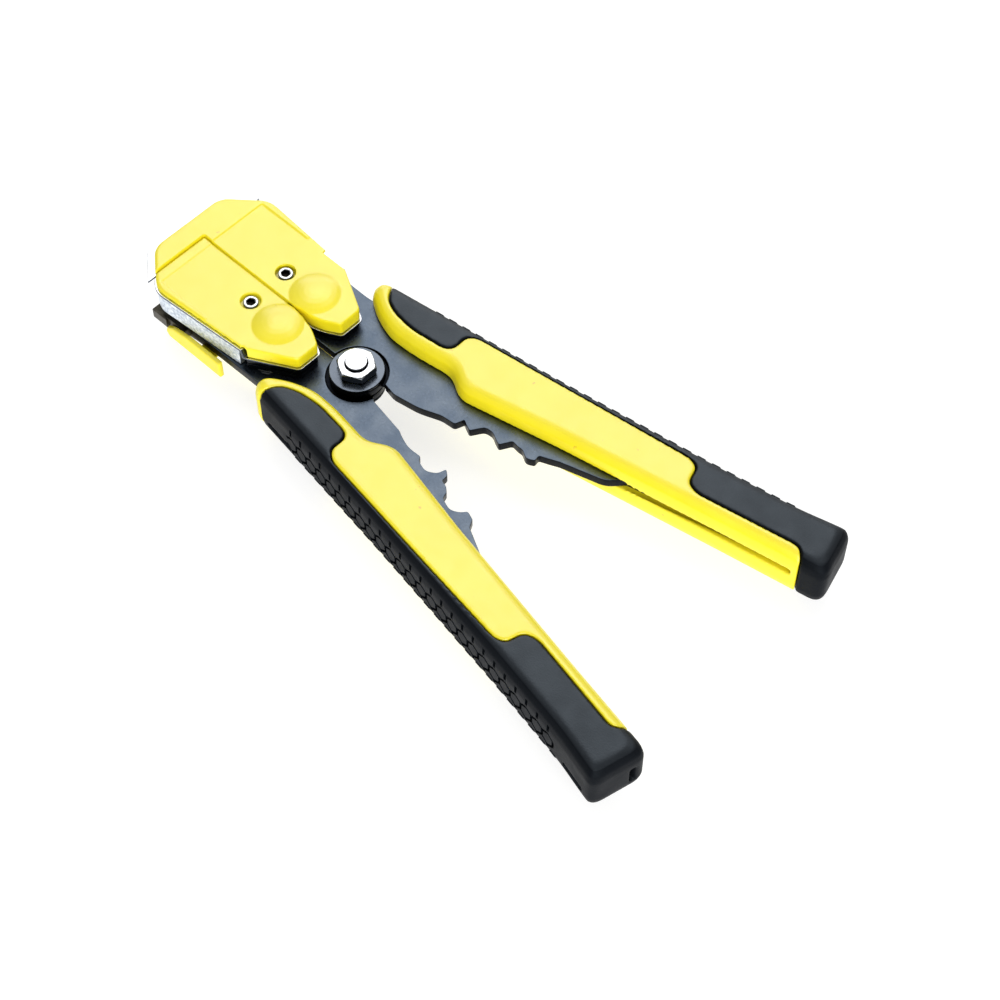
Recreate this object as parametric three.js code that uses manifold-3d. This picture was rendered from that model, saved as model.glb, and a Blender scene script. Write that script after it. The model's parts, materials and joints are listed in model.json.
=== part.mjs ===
// Self-adjusting wire stripper: two plier levers on one bolt, each carrying half of the head.
// Millimetres. +X points from the pivot to the mouth, +Y to the left handle, +Z up.
// Heights below are measured from the middle plane of the levers; the finished group is lowered
// so that its origin is the centre of the pivot bolt's flat end.

import * as THREE from 'three';
import { mergeVertices } from 'three/addons/utils/BufferGeometryUtils.js';
import Module from 'manifold-3d';

const wasm = await Module();
wasm.setup();

// ---- driving dimensions -------------------------------------------------------------------

const LEFT = 1;
const RIGHT = -1;
const UPPER = 1;
const LOWER = -1;

const GAP = 0.3;                 // clearance between neighbouring pieces
const PLATE_HALF_SHIFT = 0.9;    // the two lever plates sit this far below and above the middle
const PLATE_THICKNESS = 3.0;

const BOLT_RADIUS = 3.0;         // M6
const BOLT_TOP = 7.4;
const NUT_ACROSS_FLATS = 10;
const NUT_BOTTOM = 3.8;
const NUT_TOP = 6.5;
const EYE_RADIUS = 7.8;
const POCKET_RADIUS = 8.9;
const GROOVE_DEPTH = 1.6;
const COLLAR_BOTTOM = 2.7;
const COLLAR_TOP = 3.5;
const COLLAR_CHAMFER = 0.15;

const HEAD_FRONT = 68.3;         // front edge of the head
const LEFT_FRONT = 60.9;         // where the left half stops behind the right half's nose
const NOSE_BACK = LEFT_FRONT + 0.4;
const HEAD_REAR = 10.3;
const STEP_X = 24.4;             // where the base plates step down towards the pivot
const NARROWER = { cover: 3.4, base: 2.9, housing: 2.4 };   // the underside is narrower all round

const COVER_TOP = { [LEFT]: 10.1, [RIGHT]: 10.8 };
const COVER_ROUNDING = 1.0;
const COVER_NOTCH = { [LEFT]: 25.2, [RIGHT]: 32.5 };         // behind here the sides step in
const PANEL = { side: 19.4, rear: 39, front: 57.9 };         // sunk panel in the top of a cover
const PANEL_DEPTH = { [LEFT]: 0.3, [RIGHT]: 0.4 };
const COVER_BOTTOM = 8.9;        // underside of the covers over the jaws
const COVER_SKIRT = 5.9;         // lower edge of the covers near the pivot
const BASE_TOP = 8.6;
const BASE_BOTTOM = 7.8;
const BASE_STEP_TOP = 5.6;
const BASE_STEP_BOTTOM = 5.0;
const RIM = { side: 0.45, nose: 2.2 };
const FRAME_TOP = 7.5;
const FRAME_WEB = 6.6;
const TAIL_TOP = 4.7;

const MOUTH_HALF = 2.6;          // half the open height of the mouth
const JAW_INNER = 3.0;
const JAW_OUTER = 5.1;
const JAW_PIN = { x: 31, z: 4.2, radius: 1.0 };
const JAW_SIDE = 3.6;
const KNUCKLE_SIDE = 15.6;
const HOUSING_WALL = 1.5;
const WEDGE = { x: [19, 25.6], w: [8.4, 12.6], half: 2.4 };
const PAD = { x: [49.8, 62.6], w: 4.2, teeth: 7, pitch: 1.7, top: JAW_INNER + 0.5 };
const RIVET = { x: 14.2, w: 8.6, radius: 1.5 };
const RETURN_SPRING = { x: 20.8, z: -3.72, radius: 0.75, wire: 0.28, half: 6.2 };
const JAW_SPRING = { x: 39, w: 10.2, radius: 2.2, wire: 0.3, half: JAW_INNER - 0.6 };

const SCREW = { x: 34.8, w: 6.7, head: 2.15, shank: 1.4, recess: 2.95, seat: 8.4, sunk: 0.45 };
const BOSS_RADIUS = 3.9;         // boss under a cover that the screw clamps
const DOME = { x: 23.2, w: 7.1, radius: 7.4, height: 2.0 };

const STOP = { x: [31.5, 54], w: [21.9, 23.3], z: [-6.9, -0.7] };
const TONGUE = { x: [37, 43], w: [10, 22.4], z: [-6.3, -5.4] };

const GRIP_HALF = 8.8;
const GRIP_ROUNDING = { across: 3.2, up: 4.4 };
const INNER_SLOT_HALF = 1.1;     // slot in the inner side of a grip behind the lever's edge
const SLIT = { bottom: -5.2, top: -2.9, depth: 3 };         // sunk slits in the outer side of a grip
const END_SLIT = { w: [37.6, 39.3], z: [-4.2, 2.2], depth: 3 };

const FINE = 5;                  // segments in each rounded corner
const ROUND = 40;                // segments round a full circle
const DEGREE = Math.PI / 180;

// ---- outlines: [x, distance from the middle plane, corner size] ----------------------------

const HEAD_OUTLINE = [
  [HEAD_FRONT, 0.2], [HEAD_FRONT, 12.6, 3], [57.2, 21.9, 3], [STEP_X, 19.5, 1.5],
  [HEAD_REAR, 11.8, 1.2], [HEAD_REAR, 4.5, 0.8], [16.6, 1.0, 4], [26, 0.2, 4],
];

const LEVER_HEAD = [[47, 0.2], [47, 20.8, 1.5], [24, 20.5], [15, 20.4, 3]];
const LEVER_TANG = [
  [8, 22.2], [-15, 26.2, 6], [-45, 30, 6], [-90, 36.6], [-122, 41.2, 2], [-123, 35.6, 2],
];

const RIGHT_EDGE = [
  [-78, 24.4], [-74, 20.2, 2], [-61.1, 16.3], [-58, 14.9], [-55.6, 13.9, 0.5], [-55.9, 12.0, 0.6],
  [-53.6, 10.8, 1], [-51, 12.3, 0.8], [-49.5, 12.2], [-47.2, 12.5, 0.6], [-45.2, 9.1, 0.6],
  [-43.2, 9.9, 0.8], [-41.2, 11.0, 1], [-38.6, 10.7, 1], [-36.2, 7.0, 0.6], [-34.3, 7.8, 0.4],
  [-32.8, 8.6, 0.3], [-31.8, 5.8, 0.9], [-27.3, 5.4, 1], [-20.9, 2.9, 2], [-12.7, 1.5, 1],
  [-8, 2.4], [-6, 0.2],
];

const LEFT_EDGE = [
  [-78, 24.4], [-72, 21.4, 2], [-64.5, 18.4], [-57.2, 14.6, 0.5], [-56, 12.2, 0.5],
  [-53.3, 11.2, 0.6], [-51.9, 12.9, 1], [-49.4, 14.2, 1.6], [-45.6, 12.9, 1], [-45.0, 10.8, 0.4],
  [-43.4, 9.4, 0.5], [-41.5, 8.9, 0.4], [-41.4, 6.8, 0.5], [-39.6, 5.4, 0.6], [-38.8, 8.0, 1],
  [-35.9, 9.8, 1.6], [-32.6, 8.7, 0.6], [-31.6, 7.2, 0.5], [-27.1, 7.4, 2], [-23, 5.9, 2],
  [-21.6, 5.1, 0.5], [-9.4, 2.9], [-6, 0.2],
];

const HEAD_WINDOW = [[18, 3.2, 2], [48, 3.2], [48, 17.3], [18, 17.3, 2]];

const GRIP_OUTLINE = [
  [15.2, 20.6, 2.5], [8.5, 16.4, 5], [1, 14.0, 3], [-8, 14.4, 3], [-20.5, 16.2, 2.5],
  [-27.5, 12.2, 3], [-58, 19.0], [-106, 28.4], [-137.6, 34.3, 3.5], [-133.3, 50.6, 3.5],
  [-128, 49.3, 4], [-118, 46.6, 6], [-91, 41.7], [-45, 34.2, 8], [-8, 28.8, 6],
  [14.6, 25.6, 3],
];

const YELLOW_OUTLINE = [
  [22, 32], [13.2, 29], [10.8, 24.4, 2], [8.3, 20.4, 2], [3.4, 18.4, 2], [-4, 17.6, 2],
  [-15.4, 19.0, 2], [-17.2, 21.2, 1.5], [-17.0, 26.0, 1.5], [-19.6, 28.0, 2], [-47, 31.9],
  [-88.4, 37.8, 2], [-91.2, 36.6, 1.2], [-92.6, 31.6, 2], [-96.6, 30.4, 2], [-126.6, 36.2, 1.5],
  [-129.4, 33.8, 1], [-130.6, 26], [-60, 2], [22, 2],
];

// ---- small tools ---------------------------------------------------------------------------

function shapeOf(points, side = LEFT) {
  const shape = new THREE.Shape();
  const corners = points.map(([x, w, size = 0]) => ({ at: new THREE.Vector2(x, side * w), size }));
  corners.forEach((corner, i) => {
    const before = corners[(i + corners.length - 1) % corners.length].at;
    const after = corners[(i + 1) % corners.length].at;
    const start = towards(corner.at, before, corner.size);
    const end = towards(corner.at, after, corner.size);
    if (i === 0) shape.moveTo(start.x, start.y);
    else shape.lineTo(start.x, start.y);
    if (corner.size > 0) shape.quadraticCurveTo(corner.at.x, corner.at.y, end.x, end.y);
  });
  shape.closePath();
  return shape;
}

// A point on the edge from one corner to the next, never past 45 % of that edge.
function towards(from, to, distance) {
  const edge = to.clone().sub(from);
  const reach = Math.min(distance, 0.45 * edge.length());
  return from.clone().add(edge.setLength(reach));
}

// The same outline with every edge moved outwards (inwards when the distance is negative).
function offsetOutline(points, distance) {
  const area = points.reduce((sum, [x, w], i) => {
    const [nextX, nextW] = points[(i + 1) % points.length];
    return sum + x * nextW - nextX * w;
  }, 0);
  const outward = Math.sign(area) * distance;
  return points.map(([x, w, size = 0], i) => {
    const here = new THREE.Vector2(x, w);
    const [lastX, lastW] = points[(i + points.length - 1) % points.length];
    const [nextX, nextW] = points[(i + 1) % points.length];
    const edgeIn = here.clone().sub(new THREE.Vector2(lastX, lastW)).normalize();
    const edgeOut = new THREE.Vector2(nextX, nextW).sub(here).normalize();
    const normalIn = new THREE.Vector2(edgeIn.y, -edgeIn.x);
    const normalOut = new THREE.Vector2(edgeOut.y, -edgeOut.x);
    const miter = normalIn.add(normalOut);
    miter.multiplyScalar(2 * outward / miter.lengthSq());
    return [x + miter.x, w + miter.y, size];
  });
}

function solid(geometry) {
  const plain = geometry.index ? geometry.toNonIndexed() : geometry.clone();
  plain.deleteAttribute('normal');
  plain.deleteAttribute('uv');
  const merged = mergeVertices(plain, 1e-4);
  return new wasm.Manifold(new wasm.Mesh({
    numProp: 3,
    vertProperties: new Float32Array(merged.attributes.position.array),
    triVerts: new Uint32Array(merged.index.array),
  }));
}

function prism(points, bottom, top, side = LEFT) {
  const geometry = new THREE.ExtrudeGeometry(shapeOf(points, side), {
    depth: top - bottom, bevelEnabled: false, curveSegments: FINE,
  });
  geometry.translate(0, 0, bottom);
  return solid(geometry);
}

// An upright body whose top and bottom edges are rounded over.
function roundedPrism(points, half, rounding, side) {
  const sections = [];
  for (const angle of [90, 60, 30, 0]) {
    const inset = rounding.across * (1 - Math.cos(angle * DEGREE));
    sections.push([inset, rounding.up - half - rounding.up * Math.sin(angle * DEGREE)]);
  }
  for (const [inset, z] of [...sections].reverse()) sections.push([inset, -z]);
  return loft(sections.map(([inset, z]) => ring(offsetOutline(points, -inset), z, side)));
}

function ring(points, z, side) {
  const flat = shapeOf(points, side).getPoints(FINE);
  flat.pop();
  if (THREE.ShapeUtils.isClockWise(flat)) flat.reverse();
  return flat.map(({ x, y }) => new THREE.Vector3(x, y, z));
}

// Skin over rings that all have the same number of points, lowest ring first.
function loft(rings) {
  const count = rings[0].length;
  const cap = THREE.ShapeUtils.triangulateShape(rings[0], []);
  const index = cap.flatMap(([a, b, c]) => [a, c, b]);
  for (let level = 1; level < rings.length; level += 1) {
    for (let i = 0; i < count; i += 1) {
      const below = (level - 1) * count;
      const next = (i + 1) % count;
      index.push(below + i, below + next, below + count + next);
      index.push(below + i, below + count + next, below + count + i);
    }
  }
  const top = (rings.length - 1) * count;
  index.push(...cap.flat().map((i) => i + top));
  const geometry = new THREE.BufferGeometry().setFromPoints(rings.flat());
  geometry.setIndex(index);
  return solid(geometry);
}

// A side profile [x, z] swept across the tool between two distances from the middle plane.
function sweep(profile, from, to, side = LEFT) {
  const shape = new THREE.Shape(profile.map(([x, z]) => new THREE.Vector2(x, z)));
  const geometry = new THREE.ExtrudeGeometry(shape, { depth: to - from, bevelEnabled: false });
  geometry.rotateX(Math.PI / 2);
  geometry.translate(0, side === LEFT ? to : -from, 0);
  return solid(geometry);
}

function box(x0, x1, w0, w1, z0, z1, side = LEFT) {
  const geometry = new THREE.BoxGeometry(x1 - x0, w1 - w0, z1 - z0);
  geometry.translate((x0 + x1) / 2, side * (w0 + w1) / 2, (z0 + z1) / 2);
  return solid(geometry);
}

function post(radius, z0, z1, x = 0, y = 0, segments = ROUND) {
  const geometry = new THREE.CylinderGeometry(radius, radius, z1 - z0, segments);
  geometry.rotateX(Math.PI / 2);
  geometry.translate(x, y, (z0 + z1) / 2);
  return solid(geometry);
}

function crossPin(radius, x, z, w0, w1, side, segments = 16) {
  const geometry = new THREE.CylinderGeometry(radius, radius, w1 - w0, segments);
  geometry.translate(x, side * (w0 + w1) / 2, z);
  return solid(geometry);
}

// A profile [radius, z] turned about a vertical axis.
function turned(profile, x = 0, y = 0, segments = ROUND) {
  const geometry = new THREE.LatheGeometry(profile.map(([r, z]) => new THREE.Vector2(r, z)), segments);
  geometry.rotateX(Math.PI / 2);
  geometry.translate(x, y, 0);
  return solid(geometry);
}

// Heights are given for the upper half of the head; the lower half is the same turned over.
function turnOver(level) {
  return (shape) => (level === UPPER ? shape : shape.mirror([0, 0, 1]));
}

// ---- materials -----------------------------------------------------------------------------

const finish = (color, roughness, metalness) => new THREE.MeshStandardMaterial({
  color, roughness, metalness,
});
const YELLOW = finish(0xf6e436, 0.38, 0.0);
const RUBBER = finish(0x2b2e33, 0.75, 0.0);
const BLACKENED = finish(0x4d5664, 0.35, 0.8);
const DARK_STEEL = finish(0x2c2f33, 0.4, 0.8);
const JAW_STEEL = finish(0x6b655c, 0.4, 0.85);
const BRIGHT = finish(0xe6e9ee, 0.2, 0.95);
const CAST = finish(0xc3cad4, 0.45, 0.85);
const TOOL_STEEL = finish(0x9ba0a6, 0.3, 0.9);

const tool = new THREE.Group();

function add(name, shape, material) {
  const { vertProperties, triVerts } = shape.getMesh();
  const geometry = new THREE.BufferGeometry();
  geometry.setAttribute('position', new THREE.BufferAttribute(vertProperties, 3));
  geometry.setIndex(new THREE.BufferAttribute(triVerts, 1));
  geometry.computeVertexNormals();
  const mesh = new THREE.Mesh(geometry, material);
  mesh.name = name;
  tool.add(mesh);
}

const sideName = (side) => (side === LEFT ? 'left' : 'right');
const levelName = (level) => (level === UPPER ? 'upper' : 'lower');

// ---- levers --------------------------------------------------------------------------------

function plateSpan(side) {
  const middle = side === LEFT ? -PLATE_HALF_SHIFT : PLATE_HALF_SHIFT;
  return [middle - PLATE_THICKNESS / 2, middle + PLATE_THICKNESS / 2];
}

// Each lever is one plate, halved at the pivot: the right eye lies on top of the left one.
function lever(side) {
  const [bottom, top] = plateSpan(side);
  const edge = side === LEFT ? LEFT_EDGE : RIGHT_EDGE;
  const outline = [...LEVER_HEAD, ...LEVER_TANG, ...edge];
  const split = GAP / 2;
  const eyeLevel = side === LEFT ? [bottom, -split] : [split, top];
  const otherLevel = side === LEFT ? [-split, top + 1] : [bottom - 1, split];
  const grooveLevel = side === LEFT
    ? [bottom - 1, bottom + GROOVE_DEPTH] : [top - GROOVE_DEPTH, top + 1];
  const groove = post(POCKET_RADIUS, ...grooveLevel).subtract(post(EYE_RADIUS, ...grooveLevel));
  return prism(outline, bottom, top, side)
    .subtract(prism(HEAD_WINDOW, bottom - 1, top + 1, side))
    .subtract(post(POCKET_RADIUS, ...otherLevel))
    .add(post(EYE_RADIUS, ...eyeLevel))
    .subtract(groove)
    .subtract(post(BOLT_RADIUS + GAP, bottom - 1, top + 1))
    .subtract(post(RIVET.radius + GAP, bottom - 1, top + 1, RIVET.x, side * RIVET.w, 20));
}

// ---- pivot ---------------------------------------------------------------------------------

function hexagon(acrossFlats, z0, z1) {
  const shape = post(acrossFlats / Math.sqrt(3), z0, z1, 0, 0, 6);
  const tip = acrossFlats / Math.sqrt(3);
  const chamfer = 0.55;
  const flat = acrossFlats / 2 - 0.1;
  return shape.intersect(turned([
    [0, z0], [flat, z0], [tip, z0 + chamfer], [tip, z1 - chamfer], [flat, z1], [0, z1],
  ]));
}

function addPivot() {
  const bolt = post(BOLT_RADIUS, -NUT_BOTTOM, BOLT_TOP)
    .add(hexagon(NUT_ACROSS_FLATS, -NUT_TOP, -NUT_BOTTOM));
  const nut = hexagon(NUT_ACROSS_FLATS, NUT_BOTTOM, NUT_TOP)
    .subtract(post(BOLT_RADIUS + GAP, NUT_BOTTOM - 1, NUT_TOP + 1));
  add('pivot_bolt', bolt, BRIGHT);
  add('pivot_nut', nut, BRIGHT);
  for (const level of [UPPER, LOWER]) {
    const collar = turned([
      [BOLT_RADIUS + GAP, COLLAR_BOTTOM], [EYE_RADIUS, COLLAR_BOTTOM],
      [EYE_RADIUS, COLLAR_TOP - COLLAR_CHAMFER], [EYE_RADIUS - COLLAR_CHAMFER, COLLAR_TOP],
      [BOLT_RADIUS + GAP, COLLAR_TOP], [BOLT_RADIUS + GAP, COLLAR_BOTTOM],
    ]);
    add(`pivot_collar_${levelName(level)}`, turnOver(level)(collar), BLACKENED);
  }
}

// ---- head ----------------------------------------------------------------------------------

// Plan of one half of the head between two heights. The right half carries the nose that
// crosses in front of the left half. The outer edges move in by `narrower` and `inset`, the
// parting edge by `inset` only.
function headPlan(side, narrower, z0, z1, inset = 0) {
  const edge = (across) => halfPlan(across, narrower + inset, inset, z0, z1);
  return joinHalves(side, edge, inset, z0, z1);
}

function joinHalves(side, half, inset, z0, z1) {
  const reach = side === LEFT ? LEFT_FRONT : 90;
  const own = half(side).intersect(box(0, reach, 0, 40, z0 - 1, z1 + 1, side));
  if (side === LEFT) return own;
  const nose = half(LEFT)
    .intersect(box(NOSE_BACK + inset, 90, 0, 40, z0 - 1, z1 + 1, LEFT));
  const bridge = box(NOSE_BACK + inset, 90, -2, 2, z0 - 1, z1 + 1)
    .intersect(half(LEFT).translate([0, -2, 0]).add(half(RIGHT).translate([0, 2, 0])));
  return own.add(nose).add(bridge);
}

function halfPlan(side, outer, inner, z0, z1) {
  const insideEdge = 0.2 + inner;
  const whole = prism(offsetOutline(HEAD_OUTLINE, -outer), z0, z1, side);
  const fill = prism([
    [HEAD_FRONT - outer, insideEdge], [HEAD_FRONT - outer, 4 + outer], [20, 4 + outer],
    [24 + inner, insideEdge],
  ], z0, z1, side);
  return whole.add(fill).intersect(box(0, 80, insideEdge, 40, z0 - 1, z1 + 1, side));
}

// Half of a cover with its outer top edge rounded over and its parting edge left square.
function roundedHalf(side, narrower, z0, top) {
  const [front, ...rest] = HEAD_OUTLINE;
  const outline = [[front[0], -6], ...rest, [28, -6]];
  const sections = [[0, z0]];
  for (const angle of [0, 30, 60, 90]) {
    const inset = COVER_ROUNDING * (1 - Math.cos(angle * DEGREE));
    sections.push([inset, top - COVER_ROUNDING * (1 - Math.sin(angle * DEGREE))]);
  }
  const skin = sections.map(([inset, z]) => (
    ring(offsetOutline(outline, -narrower - inset), z, side)
  ));
  return loft(skin).intersect(box(0, 90, 0.2, 40, z0 - 1, top + 1, side));
}

function cover(side, level) {
  const top = COVER_TOP[side];
  const narrower = level === LOWER ? NARROWER.cover : 0;
  const wall = 1.5;
  const skirtEnd = STEP_X - 0.7;
  const half = (across) => roundedHalf(across, narrower, COVER_SKIRT, top);
  const plan = joinHalves(side, half, 0, COVER_SKIRT, top);
  const underFront = box(skirtEnd, 80, -40, 40, COVER_SKIRT - 1, COVER_BOTTOM);
  const hollow = headPlan(side, narrower, COVER_SKIRT - 1, COVER_BOTTOM, wall)
    .intersect(box(0, skirtEnd + 1, -40, 40, 0, COVER_BOTTOM));
  const notch = box(0, COVER_NOTCH[side], 18.9 - narrower, 40, 0, top + 1, side);
  const floor = top - PANEL_DEPTH[side];
  const panel = prism([
    [PANEL.front, -1], [PANEL.front, PANEL.side - narrower], [PANEL.rear, PANEL.side - narrower],
    [PANEL.rear, 40], [0, 40], [0, -1],
  ], floor, top + 1, side);
  return plan.subtract(underFront).subtract(hollow).subtract(notch).subtract(panel)
    .add(dome(side, narrower, floor))
    .add(post(BOSS_RADIUS, BASE_BOTTOM, COVER_BOTTOM + 0.1, SCREW.x, side * SCREW.w, 32))
    .subtract(screwRecess(side, floor));
}

// A low spherical cap over the spring at the rear of each cover.
function dome(side, narrower, floor) {
  const sphere = (DOME.radius ** 2 + DOME.height ** 2) / (2 * DOME.height);
  const rimAngle = Math.asin(DOME.radius / sphere);
  const profile = [[0, floor - 0.5], [DOME.radius, floor - 0.5]];
  for (const part of [1, 0.8, 0.6, 0.4, 0.2]) {
    const drop = sphere * (1 - Math.cos(part * rimAngle));
    profile.push([sphere * Math.sin(part * rimAngle), floor + DOME.height - drop]);
  }
  profile.push([0, floor + DOME.height]);
  const half = (across) => roundedHalf(across, narrower, COVER_SKIRT, floor + DOME.height + 1);
  return turned(profile, DOME.x, side * DOME.w, 28)
    .intersect(joinHalves(side, half, 0, COVER_SKIRT, floor + DOME.height + 1));
}

// Round recess with a floor that the screw head clamps.
function screwRecess(side, floor) {
  const bore = SCREW.shank + 0.45;
  return turned([
    [0, BASE_BOTTOM - 1], [bore, BASE_BOTTOM - 1], [bore, SCREW.seat],
    [SCREW.recess - 0.1, SCREW.seat], [SCREW.recess, floor + 1], [0, floor + 1],
  ], SCREW.x, side * SCREW.w, 32);
}

function coverScrew(side) {
  const top = COVER_TOP[side] - PANEL_DEPTH[side] - SCREW.sunk;
  const under = SCREW.seat + GAP;
  const shape = turned([
    [0, FRAME_WEB + 0.1], [SCREW.shank, FRAME_WEB + 0.1], [SCREW.shank, under],
    [SCREW.head, under], [SCREW.head, top - 0.2], [SCREW.head - 0.2, top], [0, top],
  ], SCREW.x, side * SCREW.w, 32);
  return shape.subtract(post(1.3, top - 0.7, top + 1, SCREW.x, side * SCREW.w, 6));
}

// Bent steel plate under the cover: level over the jaws, stepped down near the pivot.
function basePlate(side, level) {
  const profile = [
    [0, BASE_STEP_BOTTOM], [STEP_X + 0.2, BASE_STEP_BOTTOM], [STEP_X + 1.1, BASE_BOTTOM],
    [80, BASE_BOTTOM], [80, BASE_TOP], [STEP_X + 0.3, BASE_TOP],
    [STEP_X - 0.4, BASE_STEP_TOP], [0, BASE_STEP_TOP],
  ];
  const plan = level === UPPER ? plateRim(side) : headPlan(side, NARROWER.base, 0, 20);
  return plan
    .intersect(sweep(profile, -40, 40))
    .subtract(post(BOSS_RADIUS + GAP, 0, 20, SCREW.x, side * SCREW.w, 32));
}

// The upper base plates stand out beyond the covers: a little at the sides, more at the nose.
function plateRim(side) {
  const grown = (proud) => (across) => prism(offsetOutline(HEAD_OUTLINE, proud), 0, 20, across)
    .intersect(box(0, 90, 0.2, 40, -1, 21, across));
  const sides = joinHalves(side, grown(RIM.side), 0, 0, 20);
  if (side === LEFT) return sides;
  const front = joinHalves(side, grown(RIM.nose), 0, 0, 20)
    .intersect(box(NOSE_BACK, 90, -40, 40, -1, 21));
  return sides.add(front);
}

// Cast jaw housing: a roof, an outer skirt and an inner wall, open towards the mouth.
function frame(side, level) {
  const top = plateSpan(side)[1];
  const floor = (level === UPPER ? top : -plateSpan(side)[0]) + GAP;
  const start = STEP_X + 1.6;
  const back = box(start, 90, -40, 40, floor, FRAME_TOP);
  const narrower = level === LOWER ? NARROWER.housing : 0;
  const outer = headPlan(side, narrower, floor, FRAME_TOP).intersect(back);
  const front = side === LEFT ? LEFT_FRONT + 1 : HEAD_FRONT;
  const cavity = headPlan(side, narrower, floor - 1, FRAME_WEB, HOUSING_WALL)
    .intersect(box(start - 1, front, -40, 40, floor - 1, FRAME_WEB))
    .intersect(box(0, 90, 0, 40, floor - 1, FRAME_WEB, side));
  const mouthSide = side === LEFT && level === UPPER ? 17 : 40;
  const mouth = box(47.3, 90, -40, mouthSide, 0, JAW_INNER);
  const open = side === LEFT ? box(LEFT_FRONT - 1.6, 90, 1.7, 18.4, 0, FRAME_WEB) : null;
  let shape = outer.subtract(cavity).subtract(mouth)
    .subtract(post(SCREW.shank + GAP, 0, 20, SCREW.x, side * SCREW.w, 24))
    .subtract(crossPin(JAW_PIN.radius + GAP, JAW_PIN.x, JAW_PIN.z, -1, pinEnd(level) + GAP, side));
  if (open) shape = shape.subtract(open);
  return shape;
}

const pinEnd = (level) => (level === UPPER ? 19.2 : 16.9);

// Two spacer plates between the lever and the base plate, stacked round the pivot end.
function tailPlates(side, level) {
  const lever = level === UPPER ? plateSpan(side)[1] : -plateSpan(side)[0];
  const bottom = lever + GAP;
  const each = (TAIL_TOP - bottom - GAP) / 2;
  const narrower = level === LOWER ? NARROWER.base : 0;
  const slotEnd = level === LOWER ? 30 : WEDGE.w[1] + GAP;
  const wedgeSlot = box(
    WEDGE.x[0] - GAP, 30, WEDGE.w[0] - GAP, slotEnd, 0, WEDGE.half + GAP, side,
  );
  return [bottom, bottom + each + GAP].map((z0) => {
    const plate = headPlan(side, narrower, z0, z0 + each, 0.2)
      .intersect(box(0, STEP_X - 0.4, -40, 40, 0, 20))
      .subtract(post(RIVET.radius + GAP, 0, 20, RIVET.x, side * RIVET.w, 20))
      .subtract(wedgeSlot);
    return level === LOWER ? plate.subtract(springSlot(side)) : plate;
  });
}

function springSlot(side) {
  const { x, radius, wire, half } = RETURN_SPRING;
  const room = radius + wire + 0.4;
  return box(x - room, x + room, -1, half + 1, 0, 20, side);
}

// ---- jaws ----------------------------------------------------------------------------------

function jaw(side, level) {
  const tail = JAW_PIN.x - 4.6;
  const profile = [
    [tail, JAW_INNER + 0.2], [80, JAW_INNER], [80, JAW_OUTER], [tail, JAW_OUTER],
  ];
  const plan = prism([
    [tail, JAW_SIDE], [80, JAW_SIDE], [80, 40], [50, 40], [48.5, KNUCKLE_SIDE], [tail, KNUCKLE_SIDE],
  ], 0, 20, side);
  return sweep(profile, JAW_SIDE, 40, side)
    .intersect(housingRoom(side, level, GAP))
    .add(crossPin(2.0, JAW_PIN.x, JAW_PIN.z, JAW_SIDE, KNUCKLE_SIDE, side, 20))
    .intersect(plan)
    .subtract(crossPin(JAW_PIN.radius + GAP, JAW_PIN.x, JAW_PIN.z, 0, 30, side));
}

// The plan inside a jaw housing, less a clearance.
function housingRoom(side, level, clearance) {
  const front = side === LEFT ? LEFT_FRONT - clearance : HEAD_FRONT;
  const narrower = level === LOWER ? NARROWER.housing : 0;
  return headPlan(side, narrower, 0, FRAME_WEB, HOUSING_WALL + clearance)
    .intersect(box(0, front, 0, 40, 0, FRAME_WEB, side));
}

function blade() {
  const edge = MOUTH_HALF;
  return sweep([
    [49, edge], [59.6, edge], [60.2, edge + 0.6], [60.2, JAW_OUTER + 0.4], [50, JAW_OUTER + 0.4],
    [48, edge + 1.6],
  ], 2.3, JAW_SIDE - GAP, LEFT);
}

function grippingPad(level) {
  const root = JAW_INNER;
  const profile = [];
  for (let i = 0; i < PAD.teeth; i += 1) {
    profile.push([PAD.w + i * PAD.pitch, root]);
    profile.push([PAD.w + (i + 0.5) * PAD.pitch, MOUTH_HALF - 0.2]);
  }
  const last = PAD.w + PAD.teeth * PAD.pitch;
  profile.push([last, root], [last, PAD.top], [PAD.w, PAD.top]);
  const shape = new THREE.Shape(profile.map(([w, z]) => new THREE.Vector2(w, z)));
  const geometry = new THREE.ExtrudeGeometry(shape, {
    depth: PAD.x[1] - PAD.x[0], bevelEnabled: false,
  });
  geometry.rotateX(Math.PI / 2);
  geometry.rotateZ(-Math.PI / 2);
  geometry.translate(PAD.x[1], 0, 0);
  return solid(geometry).intersect(housingRoom(RIGHT, level, 3 * GAP));
}

function padPocket() {
  const last = PAD.w + PAD.teeth * PAD.pitch;
  return box(PAD.x[0] - GAP, PAD.x[1] + GAP, PAD.w - GAP, last + GAP, 0, PAD.top + GAP, RIGHT);
}

function jawPin(side, level) {
  return crossPin(JAW_PIN.radius, JAW_PIN.x, JAW_PIN.z, 0.5, pinEnd(level), side);
}

// Wedge that slides forward between the jaw tails and so closes the mouth.
function jawWedge(side) {
  const [rear, front] = WEDGE.x;
  const { half } = WEDGE;
  return sweep([
    [rear, -half], [front - 1.4, -half], [front, 0.8 - half], [front, half - 0.8],
    [front - 1.4, half], [rear, half],
  ], ...WEDGE.w, side);
}

// ---- springs -------------------------------------------------------------------------------

function coil(radius, wire, height, turns, segmentsPerTurn = 12) {
  class Helix extends THREE.Curve {
    getPoint(t, target = new THREE.Vector3()) {
      const angle = t * turns * 2 * Math.PI;
      return target.set(radius * Math.cos(angle), radius * Math.sin(angle), t * height);
    }
  }
  const section = new THREE.Shape();
  section.absarc(0, 0, wire, 0, 2 * Math.PI);
  return new THREE.ExtrudeGeometry(section, {
    extrudePath: new Helix(), steps: turns * segmentsPerTurn, bevelEnabled: false, curveSegments: 3,
  });
}

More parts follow.
